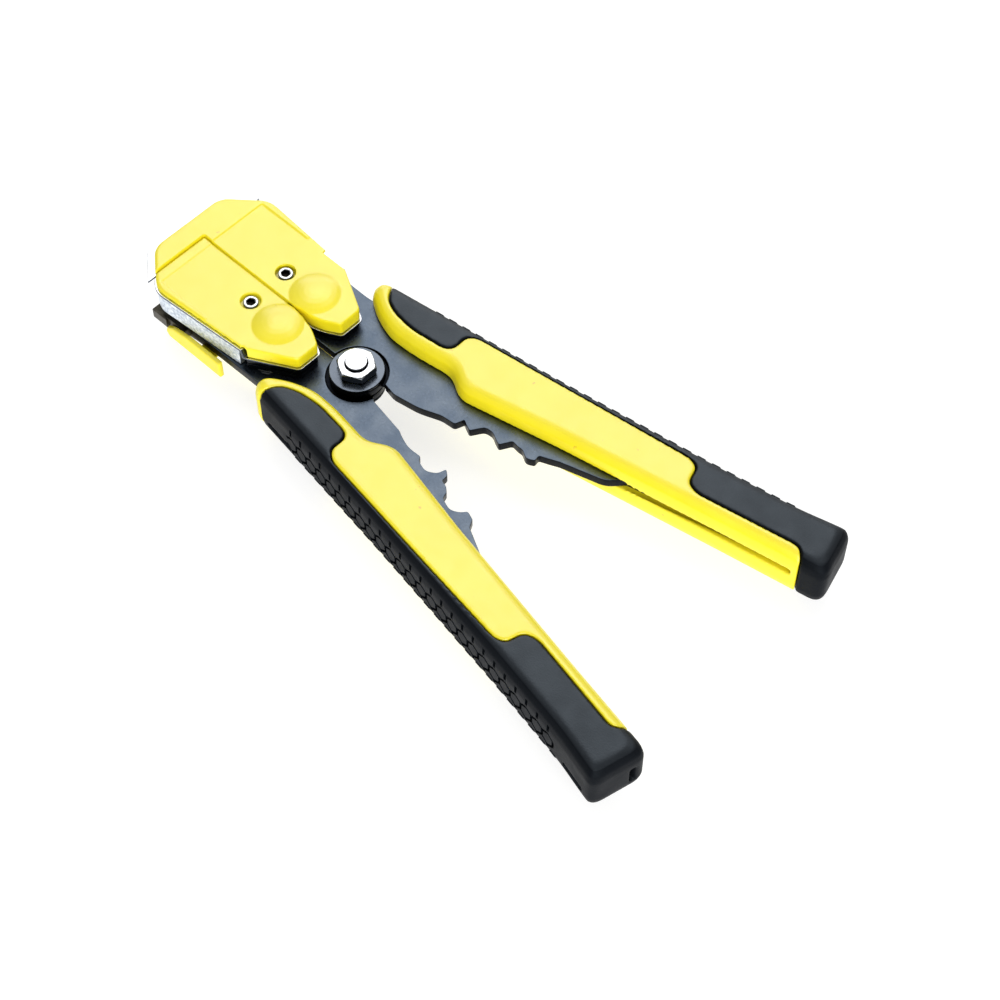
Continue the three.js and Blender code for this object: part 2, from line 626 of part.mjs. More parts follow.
function jawSpring(side) {
  const { x, w, radius, wire, half } = JAW_SPRING;
  const geometry = coil(radius, wire, 2 * half, 4);
  geometry.translate(x, side * w, -half);
  return solid(geometry);
}

function returnSpring() {
  const { x, z, radius, wire, half } = RETURN_SPRING;
  const geometry = coil(radius, wire, 2 * half, 10, 10);
  geometry.rotateX(-Math.PI / 2);
  geometry.translate(x, -half, z);
  return solid(geometry);
}

// ---- wire stop -----------------------------------------------------------------------------

function wireStop() {
  const [rear, front] = STOP.x;
  const [low, high] = STOP.z;
  const face = sweep([
    [rear, low], [front - 1.2, low], [front, low + 1.6], [front - 0.6, high - 2.6],
    [front - 3.4, high - 1], [front - 9, high], [rear, high],
  ], ...STOP.w, LEFT);
  return face.add(box(...TONGUE.x, ...TONGUE.w, ...TONGUE.z));
}

// ---- grips ---------------------------------------------------------------------------------

// The slot is as thick as the lever where the lever lies in it, and thinner behind the lever's edge.
function gripBody(side) {
  const [bottom, top] = plateSpan(side);
  const middle = (bottom + top) / 2;
  const leverRoom = [
    [22, 2], [22, 22.5], [8, 22.5], [-15, 26.5, 6], [-45, 30.3, 6], [-90, 36.9], [-123.4, 42.1, 2],
    [-124, 34.6], [-79.2, 23.2], [-77, 2],
  ];
  const innerSlot = [[-70, 2], [-70, 26], [-122, 40], [-127.5, 39, 1], [-127.5, 20]];
  return roundedPrism(GRIP_OUTLINE, GRIP_HALF, GRIP_ROUNDING, side)
    .subtract(prism(leverRoom, bottom - GAP, top + GAP, side))
    .subtract(prism(innerSlot, middle - INNER_SLOT_HALF, middle + INNER_SLOT_HALF, side));
}

function gripCore(side) {
  return gripBody(side).intersect(prism(YELLOW_OUTLINE, -20, 20, side));
}

// The outer side has a slit at each end of the tread; the left grip also has one in its end face.
function gripSleeve(side) {
  const [frontStart, frontEnd] = [8.4, -2.0];
  const [rearStart, rearEnd] = [-120.8, -129.1];
  const endFace = -136.6;
  const sleeve = gripBody(side)
    .subtract(prism(offsetOutline(YELLOW_OUTLINE, GAP), -20, 20, side))
    .subtract(sideSlit(frontStart, 26.5, frontEnd, 28.0, side))
    .subtract(sideSlit(rearStart, 47.3, rearEnd, 49.5, side));
  if (side === RIGHT) return sleeve;
  return sleeve
    .subtract(box(endFace - 4, endFace + END_SLIT.depth, ...END_SLIT.w, ...END_SLIT.z));
}

// A slit sunk into the outer side face, which runs from (x0, w0) to (x1, w1).
function sideSlit(x0, w0, x1, w1, side) {
  return prism([
    [x0, w0 - SLIT.depth], [x0, w0 + 4], [x1, w1 + 4], [x1, w1 - SLIT.depth],
  ], SLIT.bottom, SLIT.top, side);
}

// ---- assembly ------------------------------------------------------------------------------

function addHalf(side) {
  const name = sideName(side);
  add(`lever_${name}`, lever(side), BLACKENED);
  add(`grip_core_${name}`, gripCore(side), YELLOW);
  add(`grip_sleeve_${name}`, gripSleeve(side), RUBBER);
  const rivetEnd = TAIL_TOP - 0.1;
  add(`stack_rivet_${name}`,
    post(RIVET.radius, -rivetEnd, rivetEnd, RIVET.x, side * RIVET.w, 20), DARK_STEEL);
  add(`jaw_wedge_${name}`, jawWedge(side), TOOL_STEEL);
  add(`jaw_spring_${name}`, jawSpring(side), BRIGHT);
  for (const level of [UPPER, LOWER]) addHeadQuarter(side, level);
}

function addHeadQuarter(side, level) {
  const name = `${sideName(side)}_${levelName(level)}`;
  const flip = turnOver(level);
  let body = flip(frame(side, level));
  if (side === LEFT && level === LOWER) body = body.add(mouthLip()).subtract(tongueSlot());
  add(`cover_${name}`, flip(cover(side, level)), YELLOW);
  add(`cover_screw_${name}`, flip(coverScrew(side)), BRIGHT);
  add(`base_plate_${name}`, flip(basePlate(side, level)), BRIGHT);
  add(`jaw_housing_${name}`, body, level === UPPER ? CAST : JAW_STEEL);
  tailPlates(side, level).forEach((plate, i) => {
    add(`tail_plate_${name}_${i + 1}`, flip(plate), DARK_STEEL);
  });
  add(`jaw_pin_${name}`, flip(jawPin(side, level)), TOOL_STEEL);
  if (side === LEFT) {
    add(`jaw_${name}`, flip(jaw(side, level)), JAW_STEEL);
    add(`blade_${levelName(level)}`, flip(blade()), TOOL_STEEL);
  } else {
    add(`jaw_${name}`, flip(jaw(side, level).subtract(padPocket())), JAW_STEEL);
    add(`gripping_pad_${levelName(level)}`, flip(grippingPad(level)), TOOL_STEEL);
  }
}

// Thick lower edge of the mouth on the left side, standing out in front of the wire stop.
function mouthLip() {
  return box(47.4, 60.3, 18.2, 21.6, -5.1, -1.6).add(box(54.4, 60.3, 18.2, 22.4, -5.1, -1.6));
}

function tongueSlot() {
  return box(
    TONGUE.x[0] - GAP, TONGUE.x[1] + GAP, TONGUE.w[0] - GAP, 30,
    TONGUE.z[0] - GAP, TONGUE.z[1] + GAP,
  );
}

addHalf(LEFT);
addHalf(RIGHT);
addPivot();
add('return_spring', returnSpring(), BRIGHT);
add('wire_stop', wireStop(), YELLOW);

tool.position.z = -BOLT_TOP;

export default tool;
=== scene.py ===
"""Studio picture of a self-adjusting wire stripper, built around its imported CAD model.

The moulded pieces (grips, covers, wire stop) are rounded-over copies of their CAD nodes, the
grips get a cut tread, and the cover screws are turned with open sockets. Every other CAD node
stays, and all but the springs get broken edges. Lengths are in metres.
"""

import json
import math

import bmesh
import bpy
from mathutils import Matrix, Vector
from mathutils.bvhtree import BVHTree


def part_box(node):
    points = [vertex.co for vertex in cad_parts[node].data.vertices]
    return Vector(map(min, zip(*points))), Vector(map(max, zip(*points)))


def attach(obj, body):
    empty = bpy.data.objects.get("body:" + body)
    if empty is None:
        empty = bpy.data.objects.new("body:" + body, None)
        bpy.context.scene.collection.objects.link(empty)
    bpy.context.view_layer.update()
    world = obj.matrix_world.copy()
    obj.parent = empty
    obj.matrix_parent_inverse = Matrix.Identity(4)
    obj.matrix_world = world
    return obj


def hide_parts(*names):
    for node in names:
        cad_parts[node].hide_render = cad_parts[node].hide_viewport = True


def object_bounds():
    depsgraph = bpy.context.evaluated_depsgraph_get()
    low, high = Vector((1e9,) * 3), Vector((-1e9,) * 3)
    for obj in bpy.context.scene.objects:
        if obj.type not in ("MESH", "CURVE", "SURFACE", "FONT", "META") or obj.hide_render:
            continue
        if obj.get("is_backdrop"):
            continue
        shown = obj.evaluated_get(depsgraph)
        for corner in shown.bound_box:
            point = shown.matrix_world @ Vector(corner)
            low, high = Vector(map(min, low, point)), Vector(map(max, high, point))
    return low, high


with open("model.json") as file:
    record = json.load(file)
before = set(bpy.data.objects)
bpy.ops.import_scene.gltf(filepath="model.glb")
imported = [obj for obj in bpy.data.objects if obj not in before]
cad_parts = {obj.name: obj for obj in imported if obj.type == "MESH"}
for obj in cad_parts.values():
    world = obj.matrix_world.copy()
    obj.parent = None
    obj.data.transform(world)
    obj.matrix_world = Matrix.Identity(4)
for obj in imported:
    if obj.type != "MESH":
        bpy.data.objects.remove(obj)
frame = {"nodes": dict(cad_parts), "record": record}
cad_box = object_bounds()
nodes = frame["nodes"]
body_of = {n: body for body, ns in frame["record"]["behaviour"]["bodies"].items() for n in ns}
slot_of = {part["node"]: part["material_slot"] for part in frame["record"]["subparts"]}

MM = 0.001
SIDES = {"left": 1, "right": -1}
LEVELS = {"upper": 1, "lower": -1}
MIDDLE = -0.0074                  # height of the middle plane of the levers


# ---- camera, light and floor ---------------------------------------------------------------

TARGET = Vector((-0.05673, 0.00251, -0.0074))
CAMERA_PLACE = (-0.2912, 0.2493, 0.5028)
LENS_MM = 82.8
SENSOR_MM = 36
WHITE = (1, 1, 1, 1)
WORLD_STRENGTH = 0.35
FLOOR_HALF = 12.0
SOFTBOXES = {                     # place, size and power in watts
    "sheen_softbox": ((0.29, -0.37, 0.75), (0.8, 0.8), 4.1),
    "edge_softbox": ((0.62, -0.68, 0.30), (0.9, 0.35), 2.0),
    "fill_softbox": ((-0.72, 0.60, 0.36), (1.0, 0.6), 8.6),
}


def aim(thing, place):
    """Put a camera or light in its place, looking at the tool."""
    thing.location = place
    thing.rotation_euler = (TARGET - Vector(place)).to_track_quat("-Z", "Y").to_euler()
    bpy.context.scene.collection.objects.link(thing)


def add_camera():
    data = bpy.data.cameras.new("camera")
    data.lens = LENS_MM
    data.sensor_width = SENSOR_MM
    data.clip_start = 0.02
    camera = bpy.data.objects.new("camera", data)
    aim(camera, CAMERA_PLACE)
    bpy.context.scene.camera = camera


def add_softbox(name, place, size, power):
    data = bpy.data.lights.new(name, "AREA")
    data.shape = "RECTANGLE"
    data.size, data.size_y = size
    data.energy = power
    aim(bpy.data.objects.new(name, data), place)


def light_scene():
    """Two softboxes across from the camera give the tops and far edges their sheen.

    The third fills the near side.
    """
    world = bpy.data.worlds.new("studio")
    world.use_nodes = True
    background = world.node_tree.nodes["Background"]
    background.inputs["Color"].default_value = WHITE
    background.inputs["Strength"].default_value = WORLD_STRENGTH
    bpy.context.scene.world = world
    for name, (place, size, power) in SOFTBOXES.items():
        add_softbox(name, place, size, power)
    bpy.context.scene.view_settings.view_transform = "Standard"


def add_floor():
    low = cad_box[0][2]
    half = FLOOR_HALF
    data = bpy.data.meshes.new("floor")
    corners = [(-half, -half, low), (half, -half, low), (half, half, low), (-half, half, low)]
    data.from_pydata(corners, [], [(0, 1, 2, 3)])
    data.materials.append(floor_material())
    floor = bpy.data.objects.new("floor", data)
    bpy.context.scene.collection.objects.link(floor)
    floor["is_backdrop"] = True


# ---- material tools ------------------------------------------------------------------------

def new_material(name):
    material = bpy.data.materials.new(name)
    material.use_nodes = True
    tree = material.node_tree
    return material, tree, tree.nodes["Principled BSDF"]


def noise(tree, scale, detail=3, stretch=(1, 1, 1)):
    coords = tree.nodes.new("ShaderNodeTexCoord")
    mapping = tree.nodes.new("ShaderNodeMapping")
    mapping.inputs["Scale"].default_value = stretch
    texture = tree.nodes.new("ShaderNodeTexNoise")
    texture.inputs["Scale"].default_value = scale
    texture.inputs["Detail"].default_value = detail
    tree.links.new(coords.outputs["Object"], mapping.inputs["Vector"])
    tree.links.new(mapping.outputs["Vector"], texture.inputs["Vector"])
    return texture.outputs["Fac"]


def spread(tree, source, low, high, start=0.35, end=0.65):
    """Stretch a noise value to run from low to high."""
    made = tree.nodes.new("ShaderNodeMapRange")
    made.inputs["From Min"].default_value = start
    made.inputs["From Max"].default_value = end
    made.inputs["To Min"].default_value = low
    made.inputs["To Max"].default_value = high
    tree.links.new(source, made.inputs["Value"])
    return made.outputs["Result"]


def mix(tree, factor, one, two):
    """Mix two colours; each is a colour or the output of another node."""
    made = tree.nodes.new("ShaderNodeMix")
    made.data_type = "RGBA"
    tree.links.new(factor, made.inputs[0])
    for socket, color in ((made.inputs[6], one), (made.inputs[7], two)):
        if isinstance(color, tuple):
            socket.default_value = (*color, 1)
        else:
            tree.links.new(color, socket)
    return made.outputs[2]


def add_bump(tree, shader, *layers):
    """Stack (height, depth) layers of bump onto a shader."""
    last = None
    for height, depth in layers:
        made = tree.nodes.new("ShaderNodeBump")
        made.inputs["Strength"].default_value = 1.0
        made.inputs["Distance"].default_value = depth
        tree.links.new(height, made.inputs["Height"])
        if last:
            tree.links.new(last, made.inputs["Normal"])
        last = made.outputs["Normal"]
    tree.links.new(last, shader.inputs["Normal"])


def flatness(tree, steep, level):
    """1 on level faces, 0 on upright ones; steep and level are the upward parts of the normal."""
    coords = tree.nodes.new("ShaderNodeTexCoord")
    parts = tree.nodes.new("ShaderNodeSeparateXYZ")
    size = tree.nodes.new("ShaderNodeMath")
    size.operation = "ABSOLUTE"
    tree.links.new(coords.outputs["Normal"], parts.inputs["Vector"])
    tree.links.new(parts.outputs["Z"], size.inputs[0])
    return spread(tree, size.outputs[0], 0, 1, steep, level)


def pivot_distance(tree):
    """Distance from the pivot axis, in metres."""
    coords = tree.nodes.new("ShaderNodeTexCoord")
    flat = tree.nodes.new("ShaderNodeVectorMath")
    flat.operation = "MULTIPLY"
    flat.inputs[1].default_value = (1, 1, 0)
    length = tree.nodes.new("ShaderNodeVectorMath")
    length.operation = "LENGTH"
    tree.links.new(coords.outputs["Object"], flat.inputs[0])
    tree.links.new(flat.outputs["Vector"], length.inputs[0])
    return length.outputs["Value"]


def specks(tree, scale, share):
    """1 in small scattered spots, 0 elsewhere."""
    fade = 0.03
    return spread(tree, noise(tree, scale, 2), 0, 1, 1 - share, 1 - share + fade)


# ---- materials -----------------------------------------------------------------------------

def floor_material():
    material, tree, shader = new_material("pale_floor")
    shader.inputs["Base Color"].default_value = (0.45, 0.45, 0.45, 1)
    shader.inputs["Roughness"].default_value = 0.9
    shader.inputs["Emission Color"].default_value = WHITE
    shader.inputs["Emission Strength"].default_value = 0.72
    return material


def yellow_plastic():
    material, tree, shader = new_material("yellow_plastic")
    tone = mix(tree, spread(tree, noise(tree, 45), 0, 1), (0.93, 0.79, 0.010), (0.96, 0.82, 0.016))
    dirt = specks(tree, 420, 0.26)
    color = mix(tree, dirt, tone, (0.80, 0.58, 0.03))
    tree.links.new(color, shader.inputs["Base Color"])
    tree.links.new(spread(tree, noise(tree, 260), 0.30, 0.38), shader.inputs["Roughness"])
    shader.inputs["IOR"].default_value = 1.7
    gloss = spread(tree, flatness(tree, 0.5, 0.95), 0.35, 0.8, 0, 1)
    tree.links.new(gloss, shader.inputs["Specular IOR Level"])
    shader.inputs["Subsurface Weight"].default_value = 0.25
    shader.inputs["Subsurface Radius"].default_value = (0.0010, 0.0010, 0.0003)
    shader.inputs["Subsurface Scale"].default_value = 1.0
    add_bump(tree, shader, (noise(tree, 2600, 2), 0.000008), (noise(tree, 220, 2), 0.00002))
    return material


def black_rubber():
    material, tree, shader = new_material("black_rubber")
    worn = spread(tree, noise(tree, 70, 4), 0, 1)
    color = mix(tree, worn, (0.0044, 0.0054, 0.0072), (0.0056, 0.0068, 0.0090))
    tree.links.new(color, shader.inputs["Base Color"])
    tree.links.new(spread(tree, noise(tree, 180, 4), 0.40, 0.48), shader.inputs["Roughness"])
    shader.inputs["IOR"].default_value = 1.7
    gloss = spread(tree, flatness(tree, 0.75, 0.98), 0.03, 0.36, 0, 1)
    tree.links.new(gloss, shader.inputs["Specular IOR Level"])
    shader.inputs["Specular Tint"].default_value = (0.76, 0.88, 1.0, 1)
    add_bump(tree, shader, (noise(tree, 2000, 3), 0.00005), (noise(tree, 300, 3), 0.00003))
    return material


def metal(name, dark, light, rough, patch=90, grain=900, stretch=(1, 1, 1), depth=0.000004,
          painted_shade_sides=None, painted_shade_radius=0.0):
    """A metal whose colour drifts in patches and whose grain shows in its gloss and its surface.

    painted_shade_sides is a darker colour painted on upright faces as shade, so they look darker
    than the flat faces.
    Steel closer to the pivot axis than the given radius takes that darker colour too, as painted
    shade in the pocket round the pivot.
    """
    material, tree, shader = new_material(name)
    tone = spread(tree, noise(tree, patch, 4), 0, 1)
    color = mix(tree, tone, dark, light)
    # upright faces get the darker colour: painted shade
    if painted_shade_sides:
        color = mix(tree, flatness(tree, 0.75, 0.97), painted_shade_sides, color)
    # painted shade: steel within the radius round the pivot axis gets the darker colour
    if painted_shade_radius:
        fade = 0.1 * MM
        beyond = spread(tree, pivot_distance(tree), 0, 1, painted_shade_radius - fade, painted_shade_radius)
        color = mix(tree, beyond, painted_shade_sides, color)
    tree.links.new(color, shader.inputs["Base Color"])
    streaks = noise(tree, grain, 3, stretch)
    tree.links.new(spread(tree, streaks, *rough), shader.inputs["Roughness"])
    shader.inputs["Metallic"].default_value = 1.0
    add_bump(tree, shader, (streaks, depth))
    return material


MATERIALS = {
    "yellow_plastic": yellow_plastic(),
    "black_rubber": black_rubber(),
    "blackened_steel": metal(
        "blackened_steel", (0.078, 0.099, 0.131), (0.110, 0.132, 0.163), (0.27, 0.38),
        # painted shade: near-black on upright faces and in the pocket round the pivot
        patch=150, grain=1600, depth=0.000014, painted_shade_sides=(0.005, 0.006, 0.008), painted_shade_radius=8.95 * MM),
    "dark_steel": metal(
        "dark_steel", (0.008, 0.009, 0.011), (0.020, 0.022, 0.026), (0.16, 0.30),
        grain=400, stretch=(1, 1, 12), depth=0.00001),
    "jaw_steel": metal(
        "jaw_steel", (0.04, 0.035, 0.027), (0.105, 0.096, 0.076), (0.28, 0.45),
        patch=240, grain=500, stretch=(1, 1, 8), depth=0.00001),
    "bright_steel": metal(
        "bright_steel", (0.62, 0.64, 0.66), (0.74, 0.75, 0.76), (0.14, 0.24),
        # painted shade: darker colour on upright faces
        patch=300, grain=1200, depth=0.0000008, painted_shade_sides=(0.12, 0.135, 0.16)),
    "cast_zinc": metal(
        "cast_zinc", (0.48, 0.55, 0.64), (0.90, 0.95, 1.0), (0.30, 0.50),
        patch=1000, grain=1600, depth=0.00003),
    "tool_steel": metal(
        "tool_steel", (0.36, 0.37, 0.39), (0.50, 0.51, 0.53), (0.22, 0.36),
        grain=500, stretch=(1, 8, 1)),
    "spring_steel": metal(
        "spring_steel", (0.52, 0.53, 0.55), (0.68, 0.69, 0.71), (0.18, 0.30)),
}
# near-black colour for the inside of the screw sockets: painted shade
SOCKET_PAINTED_SHADE = metal("socket_painted_shade", (0.004, 0.004, 0.004), (0.014, 0.012, 0.010), (0.35, 0.5))
PIVOT_STEEL = metal(
    "pivot_steel", (0.10, 0.115, 0.14), (0.13, 0.15, 0.18), (0.20, 0.30),
    # painted shade: near-black on upright faces
    grain=1500, painted_shade_sides=(0.004, 0.005, 0.006))


def coat(piece, slot):
    piece.data.materials.clear()
    piece.data.materials.append(MATERIALS[slot])


# ---- modifiers -----------------------------------------------------------------------------

def smooth_by_angle(limit):
    """A node group that shades a mesh smooth, but for its edges sharper than the limit."""
    group = bpy.data.node_groups.new(f"smooth_below_{limit}", "GeometryNodeTree")
    group.interface.new_socket("Geometry", in_out="INPUT", socket_type="NodeSocketGeometry")
    group.interface.new_socket("Geometry", in_out="OUTPUT", socket_type="NodeSocketGeometry")
    start = group.nodes.new("NodeGroupInput")
    end = group.nodes.new("NodeGroupOutput")
    angle = group.nodes.new("GeometryNodeInputMeshEdgeAngle")
    sharp = group.nodes.new("FunctionNodeCompare")
    sharp.operation = "GREATER_THAN"
    sharp.inputs["B"].default_value = math.radians(limit)
    faces = group.nodes.new("GeometryNodeSetShadeSmooth")
    faces.domain = "FACE"
    edges = group.nodes.new("GeometryNodeSetShadeSmooth")
    edges.domain = "EDGE"
    edges.inputs["Shade Smooth"].default_value = False
    group.links.new(start.outputs[0], faces.inputs["Geometry"])
    group.links.new(faces.outputs["Geometry"], edges.inputs["Geometry"])
    group.links.new(angle.outputs["Unsigned Angle"], sharp.inputs["A"])
    group.links.new(sharp.outputs["Result"], edges.inputs["Selection"])
    group.links.new(edges.outputs["Geometry"], end.inputs[0])
    return group


SMOOTH_SHADING = smooth_by_angle(38)
BEVEL_FROM = math.radians(34)     # edges flatter than this stay as they are
SAME_PLANE = math.radians(0.5)


def crisp(node, width):
    """Keep a CAD node and break its sharp edges with a small bevel, if it has a width."""
    piece = nodes[node]
    weld = piece.modifiers.new("weld", "WELD")
    weld.merge_threshold = 0.001 * MM
    if width:
        flat = piece.modifiers.new("whole_faces", "DECIMATE")
        flat.decimate_type = "DISSOLVE"
        flat.angle_limit = SAME_PLANE
        bevel = piece.modifiers.new("broken_edges", "BEVEL")
        bevel.width = width
        bevel.segments = 2
        bevel.limit_method = "ANGLE"
        bevel.angle_limit = BEVEL_FROM
        bevel.use_clamp_overlap = False
    shading = piece.modifiers.new("smooth_shading", "NODES")
    shading.node_group = SMOOTH_SHADING
    weighted = piece.modifiers.new("flat_faces", "WEIGHTED_NORMAL")
    weighted.keep_sharp = True
    coat(piece, slot_of[node])


def bake(piece):
    """Apply all modifiers of a new piece to its mesh."""
    graph = bpy.context.evaluated_depsgraph_get()
    mesh = bpy.data.meshes.new_from_object(piece.evaluated_get(graph))
    piece.modifiers.clear()
    piece.data = mesh


def new_piece(name, mesh, node):
    """Add a piece that stands for a CAD node and moves with that node's body."""
    piece = bpy.data.objects.new(name, mesh)
    bpy.context.scene.collection.objects.link(piece)
    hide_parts(node)
    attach(piece, body_of[node])
    return piece


def moulded(node, voxel, passes):
    """A copy of a CAD node with all edges rounded over, as a moulded piece has them."""
    piece = new_piece(f"{node}_moulded", nodes[node].data.copy(), node)
    grid = piece.modifiers.new("even_mesh", "REMESH")
    grid.mode = "VOXEL"
    grid.voxel_size = voxel
    grid.use_smooth_shade = True
    soften = piece.modifiers.new("round_over", "SMOOTH")
    soften.factor = 0.5
    soften.iterations = passes
    bake(piece)
    coat(piece, slot_of[node])
    return piece


# Heights are measured from the middle plane. A cover's foot is the strip next to its base plate.
FOOT = {
    "height": 8.9 * MM, "rise": 0.4 * MM, "depth": 0.4 * MM, "rear": 25.5 * MM,
    "upright": 0.8,               # largest upward part of the normal of a side face
}
LIP = {
    "height": 9.5 * MM, "thick": 0.4 * MM, "rear": 27 * MM, "front": 61.35 * MM,
    "side": 17.6 * MM, "reach": 0.13 * MM, "gap": 0.1 * MM, "root": 0.4 * MM,
}


def undercut(cover, up):
    """Set the foot of a cover back from its outer face, which leaves a shadow gap at its seat."""
    seat = MIDDLE + up * FOOT["height"]
    middle = Vector(cover.bound_box[0]).lerp(Vector(cover.bound_box[6]), 0.5)
    for vertex in cover.data.vertices:
        outward = vertex.co.xy - middle.xy
        faces_out = vertex.normal.xy.dot(outward) > 0 and abs(vertex.normal.z) < FOOT["upright"]
        at_foot = abs(vertex.co.z - seat) < FOOT["rise"] and vertex.co.x > FOOT["rear"]
        if faces_out and at_foot:
            back = vertex.normal.xy.normalized() * FOOT["depth"]
            vertex.co.x -= back.x
            vertex.co.y -= back.y


def combine(piece, mesh, operation):
    """Cut a mesh out of a piece, or join it on."""
    bmesh.ops.recalc_face_normals(mesh, faces=mesh.faces)
    data = bpy.data.meshes.new("shape")
    mesh.to_mesh(data)
    mesh.free()
    tool = bpy.data.objects.new("shape", data)
    bpy.context.scene.collection.objects.link(tool)
    step = piece.modifiers.new("shape", "BOOLEAN")
    step.operation = operation
    step.solver = "MANIFOLD"
    step.object = tool
    bake(piece)
    bpy.data.objects.remove(tool)


def add_box(mesh, low, high):
    made = bmesh.ops.create_cube(mesh, size=1)
    for vertex in made["verts"]:
        vertex.co = [a + (b - a) * (t + 0.5) for a, b, t in zip(low, high, vertex.co)]


def add_lips(cover):
    """Thin lips on the right cover that close the parting gap to the left one from below."""
    top = MIDDLE + LIP["height"]
    bottom = top - LIP["thick"]
    inside = -LIP["root"]
    behind = LIP["front"] - LIP["root"]
    ahead = LIP["front"] + LIP["gap"]
    mesh = bmesh.new()
    add_box(mesh, (LIP["rear"], inside, bottom), (LIP["front"], LIP["reach"], top))
    add_box(mesh, (behind, inside, bottom), (ahead, LIP["side"], top))
    combine(cover, mesh, "UNION")
    cover.data.shade_smooth()


# ---- tread ---------------------------------------------------------------------------------

# Pairs are the upper and lower end of the upright strokes in each row of the net.
TREAD = {
    "start": -3 * MM, "pitch": 4.45 * MM, "columns": 26, "net_top": 2.0 * MM,
    "upper": (5.6 * MM, 2.9 * MM), "middle": (0.7 * MM, -2.0 * MM), "lower": (-3.7 * MM, -6.0 * MM),
    "width": 1.05 * MM, "depth": 1.0 * MM, "clear": 0.8 * MM, "taper": 0.75,
}
KNOB = {
    "length": 2.9 * MM, "heights": (-5.0 * MM, -7.7 * MM), "proud": 0.36 * MM, "root": 0.5 * MM,
    "taper": 0.22,
}
OUTSIDE = 0.08                    # beside the grips, where the search for their surface starts


def surface_finder(piece, side):
    """A function that gives the point and normal of a grip's outer side at (x, height).

    The right grip is the left one turned over, so its heights run the other way.
    """
    tree = BVHTree.FromPolygons(
        [v.co for v in piece.data.vertices], [p.vertices for p in piece.data.polygons])

    def find(x, height):
        point, normal, _, _ = tree.ray_cast(
            Vector((x, side * OUTSIDE, MIDDLE + side * height)), Vector((0, -side, 0)))
        return point, normal
    return find


def add_stroke(mesh, find, start, end):
    """A bar sunk in the surface from start to end, each given as (x, height)."""
    width = TREAD["width"] / 2
    rings = []
    parts = 3
    for i in range(parts + 1):
        t = i / parts
        x = start[0] + (end[0] - start[0]) * t
        height = start[1] + (end[1] - start[1]) * t
        point, normal = find(x, height)
        rings.append((point, normal))
    along = (rings[-1][0] - rings[0][0]).normalized()
    sections = []
    for point, normal in rings:
        across = along.cross(normal).normalized()
        out = point + normal * TREAD["clear"]
        deep = point - normal * TREAD["depth"]
        narrow = width * TREAD["taper"]
        corners = [out + across * width, out - across * width,
                   deep - across * narrow, deep + across * narrow]
        sections.append([mesh.verts.new(corner) for corner in corners])
    for one, two in zip(sections, sections[1:]):
        for i in range(4):
            j = (i + 1) % 4
            mesh.faces.new((one[i], one[j], two[j], two[i]))
    mesh.faces.new(list(reversed(sections[0])))
    mesh.faces.new(sections[-1])


def tread_strokes():
    """Strokes of a net of long hexagons, in sets whose strokes don't cross one another."""
    pitch = TREAD["pitch"]
    net_top = TREAD["net_top"]
    posts, falling, rising = [], [], []
    for i in range(TREAD["columns"]):
        x = TREAD["start"] - i * pitch
        between = x - pitch / 2
        posts.append(((x, TREAD["upper"][0]), (x, TREAD["upper"][1])))
        posts.append(((between, TREAD["middle"][0]), (between, TREAD["middle"][1])))
        posts.append(((x, TREAD["lower"][0]), (x, TREAD["lower"][1])))
        falling.append(((x, net_top), (between, TREAD["middle"][0])))
        falling.append(((between + pitch, TREAD["middle"][1]), (x, TREAD["lower"][0])))
        rising.append(((x, net_top), (between + pitch, TREAD["middle"][0])))
        rising.append(((between, TREAD["middle"][1]), (x, TREAD["lower"][0])))
    return posts, falling, rising


def add_knob(mesh, find, x):
    """A low block that stands on the surface, narrower at its top."""
    top, bottom = KNOB["heights"]
    corners = []
    for dx, height in ((0.5, top), (0.5, bottom), (-0.5, bottom), (-0.5, top)):
        corners.append(find(x + dx * KNOB["length"], height))
    center = sum((point for point, _ in corners), Vector()) / 4
    low = []
    high = []
    for point, normal in corners:
        low.append(mesh.verts.new(point - normal * KNOB["root"]))
    for point, normal in corners:
        high.append(mesh.verts.new(point.lerp(center, KNOB["taper"]) + normal * KNOB["proud"]))
    mesh.faces.new(low)
    mesh.faces.new(high)
    for i in range(4):
        j = (i + 1) % 4
        mesh.faces.new((low[i], low[j], high[j], high[i]))


def add_tread(sleeve, side):
    """Cut the net into the outer side of a grip and stand a row of knobs along one edge of it."""
    find = surface_finder(sleeve, side)
    for strokes in tread_strokes():
        mesh = bmesh.new()
        for start, end in strokes:
            add_stroke(mesh, find, start, end)
        combine(sleeve, mesh, "DIFFERENCE")
    mesh = bmesh.new()
    for i in range(TREAD["columns"]):
        x = TREAD["start"] - (i + 0.5) * TREAD["pitch"]
        add_knob(mesh, find, x)
    combine(sleeve, mesh, "UNION")
    sleeve.data.set_sharp_from_angle(angle=math.radians(40))


# ---- screws --------------------------------------------------------------------------------

SCREW = {
    "seat": 8.7 * MM,             # underside of the head above the middle plane
    "shank": 1.4 * MM, "socket": 1.3 * MM, "sharp_from": math.radians(50),
}
RING_STEPS = 48
HEXAGON = 6


def ring_points(radius, height, flats):
    """A level ring about the vertical axis, with that many flats or round if it has none."""
    points = []
    for i in range(RING_STEPS):
        angle = 2 * math.pi * i / RING_STEPS
        reach = radius
        if flats:
            part = math.pi / flats
            reach = radius * math.cos(part) / math.cos((angle + part) % (2 * part) - part)
        points.append((reach * math.cos(angle), reach * math.sin(angle), height))
    return points


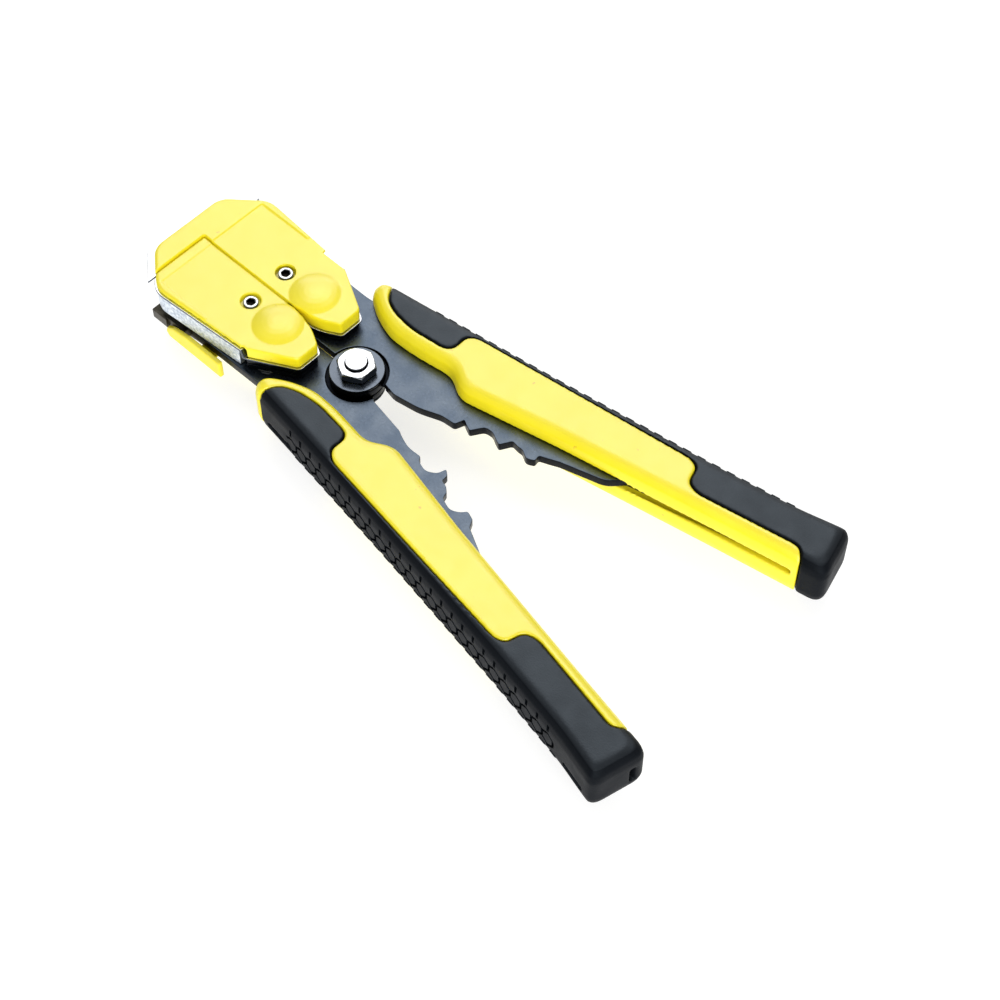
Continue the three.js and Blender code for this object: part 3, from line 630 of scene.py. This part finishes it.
def socket_screw(node):
    """Cap screw with a rounded rim and a hexagon socket."""
    low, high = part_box(node)
    center = (low + high) / 2
    up = 1 if node.endswith("upper") else -1
    head = (high.x - low.x) / 2
    top = high.z if up > 0 else -low.z
    bottom = low.z if up > 0 else -high.z
    socket = SCREW["socket"]
    shank = SCREW["shank"]
    seat = up * MIDDLE + SCREW["seat"]
    outside = [                       # radius, height and number of flats
        (0.2 * shank, bottom, 0),
        (0.85 * shank, bottom, 0),
        (shank, bottom + 0.2 * MM, 0),
        (shank, seat, 0),
        (head - 0.1 * MM, seat, 0),
        (head, seat + 0.1 * MM, 0),
        (head, top - 0.22 * MM, 0),
        (head - 0.07 * MM, top - 0.08 * MM, 0),
        (head - 0.22 * MM, top, 0),
        (socket + 0.30 * MM, top, 0),
        (socket + 0.10 * MM, top - 0.06 * MM, HEXAGON),
    ]
    inside = [
        (socket, top - 0.2 * MM, HEXAGON),
        (socket, top - 1.3 * MM, HEXAGON),
        (0.2 * socket, top - 1.6 * MM, 0),
    ]
    rings = [ring_points(*row) for row in outside + inside]
    mesh = bmesh.new()
    levels = [[mesh.verts.new(p) for p in points] for points in rings]
    for number, (one, two) in enumerate(zip(levels, levels[1:])):
        for i in range(RING_STEPS):
            j = (i + 1) % RING_STEPS
            face = mesh.faces.new((one[i], one[j], two[j], two[i]))
            # faces inside the socket get the second material, painted shade
            face.material_index = int(number >= len(outside))
    mesh.faces.new(list(reversed(levels[0])))
    mesh.faces.new(levels[-1]).material_index = 1
    for vertex in mesh.verts:
        vertex.co = (center.x + vertex.co.x, center.y + vertex.co.y, up * vertex.co.z)
    bmesh.ops.recalc_face_normals(mesh, faces=mesh.faces)
    data = bpy.data.meshes.new(node)
    data.materials.append(MATERIALS[slot_of[node]])
    data.materials.append(SOCKET_PAINTED_SHADE)
    mesh.to_mesh(data)
    mesh.free()
    data.shade_smooth()
    data.set_sharp_from_angle(angle=SCREW["sharp_from"])
    new_piece(f"{node}_turned", data, node)


# ---- the tool ------------------------------------------------------------------------------

# Voxel size and smoothing passes of the moulded pieces.
GRIP_MOULD = (0.4 * MM, 9)
COVER_MOULDS = {"upper": (0.25 * MM, 2), "lower": (0.4 * MM, 2)}
STOP_MOULD = (0.3 * MM, 3)
EDGE_BREAK = {
    "lever": 0.3 * MM, "jaw_housing": 0.2 * MM, "base_plate": 0.2 * MM, "tail_plate": 0.12 * MM,
    "pivot": 0.14 * MM, "jaw": 0.12 * MM, "blade": 0.05 * MM, "gripping_pad": 0.06 * MM,
    "stack_rivet": 0.15 * MM,
}


def edge_break(node):
    """The bevel width of a CAD node, by the longest start of its name that the table has."""
    if "spring" in node:
        return 0.0
    starts = [start for start in EDGE_BREAK if node.startswith(start)]
    return EDGE_BREAK[max(starts, key=len)] if starts else 0.0


def build_moulded():
    """Make the pieces that replace their CAD nodes, and give the names of those nodes."""
    done = set()
    for name, side in SIDES.items():
        sleeve = moulded(f"grip_sleeve_{name}", *GRIP_MOULD)
        add_tread(sleeve, side)
        moulded(f"grip_core_{name}", *GRIP_MOULD)
        done |= {f"grip_sleeve_{name}", f"grip_core_{name}"}
        for level, up in LEVELS.items():
            cover = moulded(f"cover_{name}_{level}", *COVER_MOULDS[level])
            undercut(cover, up)
            if (name, level) == ("right", "upper"):
                add_lips(cover)
            socket_screw(f"cover_screw_{name}_{level}")
            done |= {f"cover_{name}_{level}", f"cover_screw_{name}_{level}"}
    moulded("wire_stop", *STOP_MOULD)
    return done | {"wire_stop"}


def build_tool():
    done = build_moulded()
    for node in sorted(set(nodes) - done):
        crisp(node, edge_break(node))
    for level in LEVELS:
        collar = nodes[f"pivot_collar_{level}"]
        collar.data.materials[0] = PIVOT_STEEL


add_camera()
add_floor()
light_scene()
build_tool()

boxes = {"cad": cad_box, "visual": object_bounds()}
{name: [list(corner) for corner in box] for name, box in boxes.items()}
